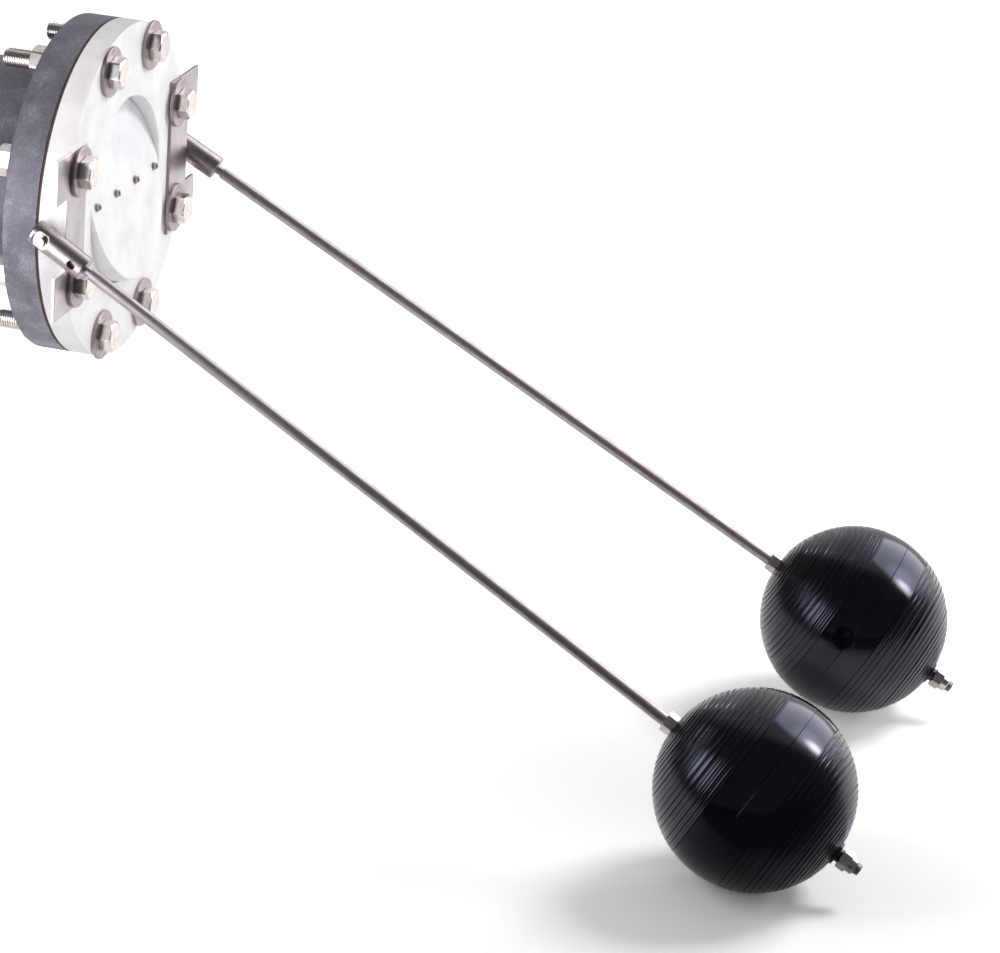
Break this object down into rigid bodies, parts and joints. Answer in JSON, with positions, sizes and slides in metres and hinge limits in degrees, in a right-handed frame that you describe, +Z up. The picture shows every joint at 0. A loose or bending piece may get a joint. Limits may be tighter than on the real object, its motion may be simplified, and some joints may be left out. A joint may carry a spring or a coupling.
{
  "type": "modulating float valve",
  "caption": "Butterfly valve bolted to a pipe socket flange, its disc turned by ball floats on long splayed arms whose swing is stopped by notched plates.",
  "frame": {"origin": "centre of the seat that the pipe's end meets at the bottom of the flange's socket", "axes": "+X out of the pipe towards the floats, +Y along the valve shaft to the left as seen from the pipe, +Z up"},
  "size_m": [1.0243, 0.6576, 0.6957],
  "materials": {
    "grey_pvc": "satin moulded grey",
    "gasket_rubber": "matt dark sheet",
    "white_plastic": "machined white polyethylene",
    "stainless_sheet": "mill finish",
    "stainless_fasteners": "cold formed, satin",
    "stainless_washers": "tumbled satin",
    "stainless_bar": "drawn and turned, satin",
    "black_float": "glossy moulded black",
    "nylon": "natural nylon"
  },
  "bodies": {
    "valve_seat": {"pipe_flange": "grey_pvc", "flange_gasket": "gasket_rubber", "valve_body": "white_plastic", "stop_plate_left": "stainless_sheet", "stop_plate_right": "stainless_sheet", "flange_bolts": "stainless_fasteners", "front_washers": "stainless_washers", "flange_nuts": "stainless_fasteners"},
    "float_arms": {"valve_shaft": "stainless_bar", "valve_disc": "white_plastic", "disc_screws": "stainless_fasteners", "disc_washers": "stainless_washers", "arm_hub_left": "stainless_bar", "arm_hub_right": "stainless_bar", "hub_bolts": "stainless_fasteners", "hub_washers": "stainless_washers", "hub_set_screws": "stainless_fasteners", "float_rod_left": "stainless_bar", "float_rod_right": "stainless_bar", "float_left": "black_float", "float_right": "black_float", "float_nuts": "stainless_fasteners", "lock_nuts": "stainless_fasteners", "lock_nut_inserts": "nylon"}
  },
  "joints": [
    {"name": "float_swing", "type": "hinge", "parent": "valve_seat", "child": "float_arms", "pos_m": [0.04765, 0, 0], "axis": [0, -1, 0], "range_deg": [-18.27, 76.59]}
  ]
}
